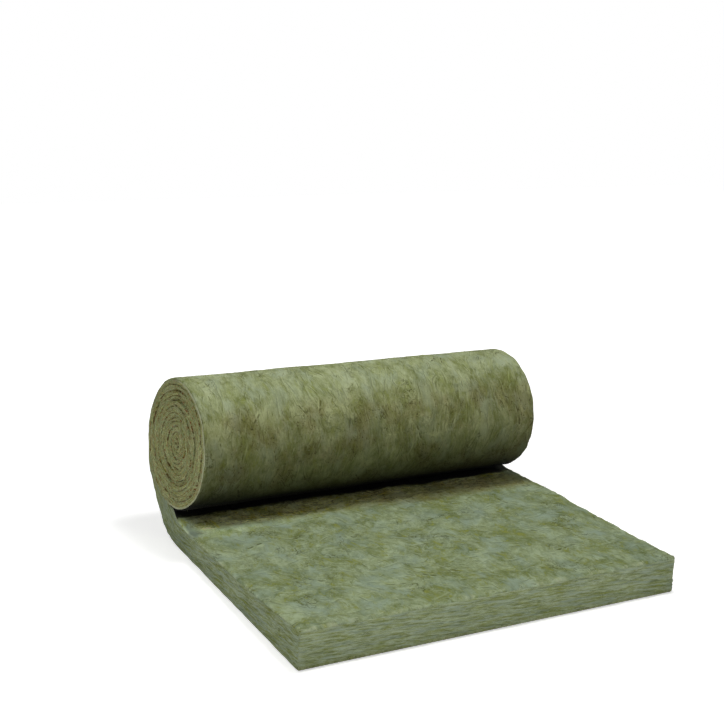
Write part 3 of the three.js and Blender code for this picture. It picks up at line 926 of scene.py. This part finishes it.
def stray_tree():
    """Strands strewn over the free faces of the mat, thicker along its rims, each turned and sized by
    chance and held just above the floor."""
    tree = bpy.data.node_groups.new("stray_strands", "GeometryNodeTree")
    socket(tree, "Geometry", "INPUT", "Geometry")
    socket(tree, "Strand", "INPUT", "Object")
    socket(tree, "Strands Per Area", "INPUT", "Float")
    socket(tree, "Rim Strands Per Area", "INPUT", "Float")
    socket(tree, "Strand Wool", "INPUT", "Material")
    socket(tree, "Geometry", "OUTPUT", "Geometry")
    given = add_node(tree, "NodeGroupInput").outputs

    def chance(seed, low, high, kind="FLOAT"):
        first = 0 if kind == "FLOAT_VECTOR" else 2
        inputs = {"Seed": seed, first: low, first + 1: high}
        return add_node(tree, "FunctionNodeRandomValue", inputs, data_type=kind).outputs[first // 2]

    rims = math_node(tree, "MULTIPLY", mark_of(tree, "brink"), given["Rim Strands Per Area"])
    density = math_node(tree, "ADD", given["Strands Per Area"], rims)
    open_air = math_node(tree, "GREATER_THAN", mark_of(tree, "free"), 0.5)
    density = math_node(tree, "MULTIPLY", density, open_air)
    inputs = {"Mesh": given["Geometry"], "Density": density, "Seed": 11}
    points = add_node(tree, "GeometryNodeDistributePointsOnFaces", inputs, distribute_method="RANDOM")
    strewn = points.outputs
    inputs = {0: strewn["Rotation"],
              1: chance(12, (-0.12, -0.12, 0.0), (0.12, 0.12, 2 * math.pi), "FLOAT_VECTOR")}
    turned = add_node(tree, "FunctionNodeRotateRotation", inputs, rotation_space="LOCAL").outputs[0]
    strand = add_node(tree, "GeometryNodeObjectInfo", {"Object": given["Strand"]}).outputs["Geometry"]
    inputs = {"Points": strewn["Points"], "Instance": strand, "Rotation": turned,
              "Scale": chance(13, 0.45, 1.15)}
    laid = add_node(tree, "GeometryNodeInstanceOnPoints", inputs).outputs[0]
    laid = add_node(tree, "GeometryNodeRealizeInstances", {"Geometry": laid}).outputs[0]
    place = add_node(tree, "GeometryNodeInputPosition").outputs[0]
    above_floor = vector_node(tree, "MAXIMUM", place, (-10.0, -10.0, STRAY_CLEARANCE))
    laid = add_node(tree, "GeometryNodeSetPosition", {"Geometry": laid, "Position": above_floor}).outputs[0]
    inputs = {"Geometry": laid, "Material": given["Strand Wool"]}
    laid = add_node(tree, "GeometryNodeSetMaterial", inputs).outputs[0]
    add_node(tree, "NodeGroupOutput", {"Geometry": laid})
    return tree


strays = bpy.data.objects.new("stray_strands", blanket.data.copy())
bpy.context.scene.collection.objects.link(strays)
apply_tree(strays, stray_tree(), {
    "Strand": one_strand, "Strands Per Area": 350.0, "Rim Strands Per Area": 1800.0,
    "Strand Wool": stray_wool})
bpy.data.objects.remove(one_strand)
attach(strays, "root")

# ---------------------------------------------------------------------------------------------------
# The floor, the light and the camera. A wide pale floor that reads as white where nothing shades it,
# a plain pale world, and six lamps: three soft boxes above, in front and on the left, and three cards
# low down that lift the shade near the floor.
FLOOR = 9.0
FLOOR_DROP = 0.0006
floor_mesh = bpy.data.meshes.new("studio_floor")
floor_corners = [(x * FLOOR, y * FLOOR, -FLOOR_DROP) for x, y in ((-1, -1), (1, -1), (1, 1), (-1, 1))]
floor_mesh.from_pydata(floor_corners, [], [(0, 1, 2, 3)])
floor = bpy.data.objects.new("studio_floor", floor_mesh)
bpy.context.scene.collection.objects.link(floor)
floor_paint = bpy.data.materials.new("floor_paint")
floor_paint.use_nodes = True
tree = floor_paint.node_tree
shader = tree.nodes["Principled BSDF"]
shader.inputs["Base Color"].default_value = (0.82, 0.82, 0.81, 1)
shader.inputs["Roughness"].default_value = 0.9
shader.inputs["Emission Color"].default_value = (1, 1, 1, 1)


def in_plain_sight(tree):
    """1 for the rays that show the studio itself: to the camera, or in a shiny or a clear surface."""
    rays = add_node(tree, "ShaderNodeLightPath").outputs
    shown = math_node(tree, "MAXIMUM", rays["Is Camera Ray"], rays["Is Glossy Ray"])
    return math_node(tree, "MAXIMUM", shown, rays["Is Transmission Ray"])


distance = add_node(tree, "ShaderNodeVectorMath", {0: spot_of(tree)}, operation="LENGTH").outputs["Value"]
lift = math_node(tree, "MULTIPLY", ramp_node(tree, distance, 1.0, 2.4, 0.55, 1.0), in_plain_sight(tree))
tree.links.new(lift, shader.inputs["Emission Strength"])
floor_mesh.materials.append(floor_paint)

world = bpy.data.worlds.new("studio")
world.use_nodes = True
bpy.context.scene.world = world
tree = world.node_tree
background = tree.nodes["Background"]
background.inputs["Color"].default_value = (1, 1, 1, 1)
WORLD_LIGHT = 0.14
WORLD_SEEN = 1.0
strength = ramp_node(tree, in_plain_sight(tree), 0.0, 1.0, WORLD_LIGHT, WORLD_SEEN, "LINEAR")
tree.links.new(strength, background.inputs["Strength"])


def softbox(name, place, size, watts, aim=(0, 0, 0.15)):
    """A rectangular lamp that shines on its aim and doesn't show itself."""
    data = bpy.data.lights.new(name, "AREA")
    data.shape = "RECTANGLE"
    data.size, data.size_y = size
    data.energy = watts
    lamp = bpy.data.objects.new(name, data)
    lamp.location = place
    lamp.rotation_euler = (Vector(aim) - lamp.location).to_track_quat("-Z", "Y").to_euler()
    lamp.visible_camera = False
    bpy.context.scene.collection.objects.link(lamp)


softbox("softbox_over", (0.3, -0.42, 3.5), (0.8, 0.8), 64)
softbox("softbox_front", (0.2, -3.2, 3.0), (1.2, 1.2), 15.5)
softbox("softbox_left", (-2.35, -0.9, 2.9), (1.2, 1.2), 37)
softbox("floor_card_front", (0.0, -1.0, 0.01), (1.6, 0.6), 2.6, (0.0, -1.0, 1.0))
softbox("low_card_front", (0.0, -1.7, 0.16), (1.8, 0.3), 1.3, (0.0, -0.6, 0.04))
softbox("floor_card_left", (-1.1, 0.25, 0.01), (0.5, 0.7), 0.8, (-1.1, 0.25, 1.0))

CAMERA_PLACE = (-1.88875, -3.29804, 1.53700)
camera_data = bpy.data.cameras.new("camera")
camera_data.lens = 64.34
camera_data.sensor_width = 36
camera_data.shift_x = 0.00234
camera_data.shift_y = -0.07778
camera = bpy.data.objects.new("camera", camera_data)
yaw, pitch, roll = 0.48465, 0.18689, 0.02959
forward = Vector((math.sin(yaw) * math.cos(pitch), math.cos(yaw) * math.cos(pitch), -math.sin(pitch)))
level = Vector((math.cos(yaw), -math.sin(yaw), 0))
upright = level.cross(forward)
right = math.cos(roll) * level + math.sin(roll) * upright
up = math.cos(roll) * upright - math.sin(roll) * level
turned = Matrix((right, up, -forward)).transposed().to_4x4()
camera.matrix_world = Matrix.Translation(CAMERA_PLACE) @ turned
bpy.context.scene.collection.objects.link(camera)
bpy.context.scene.camera = camera
bpy.context.scene.view_settings.view_transform = "Standard"
